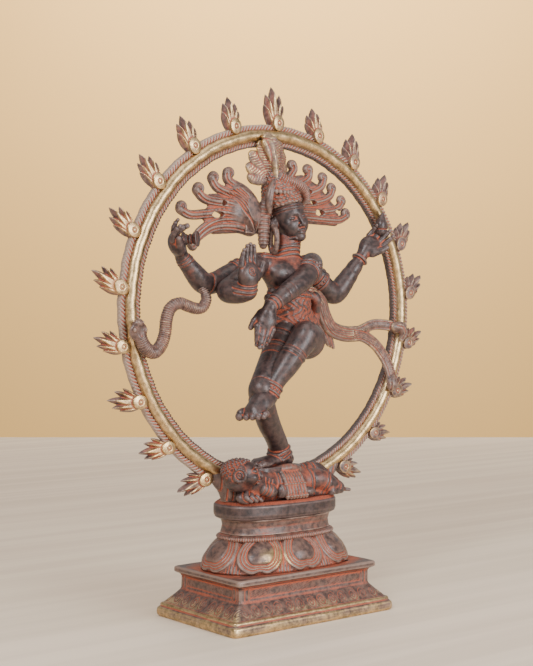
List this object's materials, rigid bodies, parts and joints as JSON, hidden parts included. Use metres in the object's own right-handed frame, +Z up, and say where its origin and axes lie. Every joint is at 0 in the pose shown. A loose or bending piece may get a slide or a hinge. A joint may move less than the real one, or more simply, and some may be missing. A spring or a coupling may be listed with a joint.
{
  "type": "nataraja statue",
  "caption": "Cast brass dancing figure inside a flaming arch, standing on a dwarf over a lotus pedestal and a stepped hollow plinth, with an antique dark and red-brown finish.",
  "frame": {"origin": "on the floor under the middle of the plinth", "axes": "+Z up, the figure faces -Y, +X is towards the figure's left hand side"},
  "size_m": [0.2632, 0.082, 0.33],
  "materials": {
    "worn_brass": "antiqued brass rubbed back to pale metal on high surfaces, mauve-brown with red oxide in the grooves",
    "brown_patina": "satin brown patina with red oxide in the grooves and brass showing on worn edges",
    "dark_patina": "semi-gloss brown-black patina with red oxide in the grooves",
    "plain_brass": "turned brass, unfinished"
  },
  "bodies": {
    "root": {"arch": "worn_brass", "flame_01": "worn_brass", "flame_02": "worn_brass", "flame_03": "worn_brass", "flame_04": "worn_brass", "flame_05": "worn_brass", "flame_06": "worn_brass", "flame_07": "worn_brass", "flame_08": "worn_brass", "flame_09": "worn_brass", "flame_10": "worn_brass", "flame_11": "worn_brass", "flame_12": "worn_brass", "flame_13": "worn_brass", "flame_14": "worn_brass", "flame_15": "worn_brass", "flame_16": "worn_brass", "flame_17": "worn_brass", "flame_18": "worn_brass", "flame_19": "worn_brass", "feather_fan": "worn_brass", "crown_post": "worn_brass", "plinth_shell": "brown_patina", "lotus_pedestal": "brown_patina", "bead_moulding": "brown_patina", "waist_moulding": "brown_patina", "crown": "brown_patina", "ear_pendants": "brown_patina", "hair_left": "brown_patina", "hair_right": "brown_patina", "hair_bridge": "brown_patina", "cobra": "brown_patina", "sash": "brown_patina", "hip_tail": "brown_patina", "hand_flame": "brown_patina", "dwarf_body": "brown_patina", "dwarf_head": "brown_patina", "dwarf_cloth": "brown_patina", "top_slab": "dark_patina", "foot_pad": "dark_patina", "torso": "dark_patina", "head": "dark_patina", "arm_drum": "dark_patina", "arm_flame": "dark_patina", "arm_blessing": "dark_patina", "arm_crossing": "dark_patina", "drum": "dark_patina", "leg_standing": "dark_patina", "leg_raised": "dark_patina", "tie_rod": "plain_brass", "tie_washer": "plain_brass", "tie_nut": "plain_brass"}
  },
  "joints": []
}
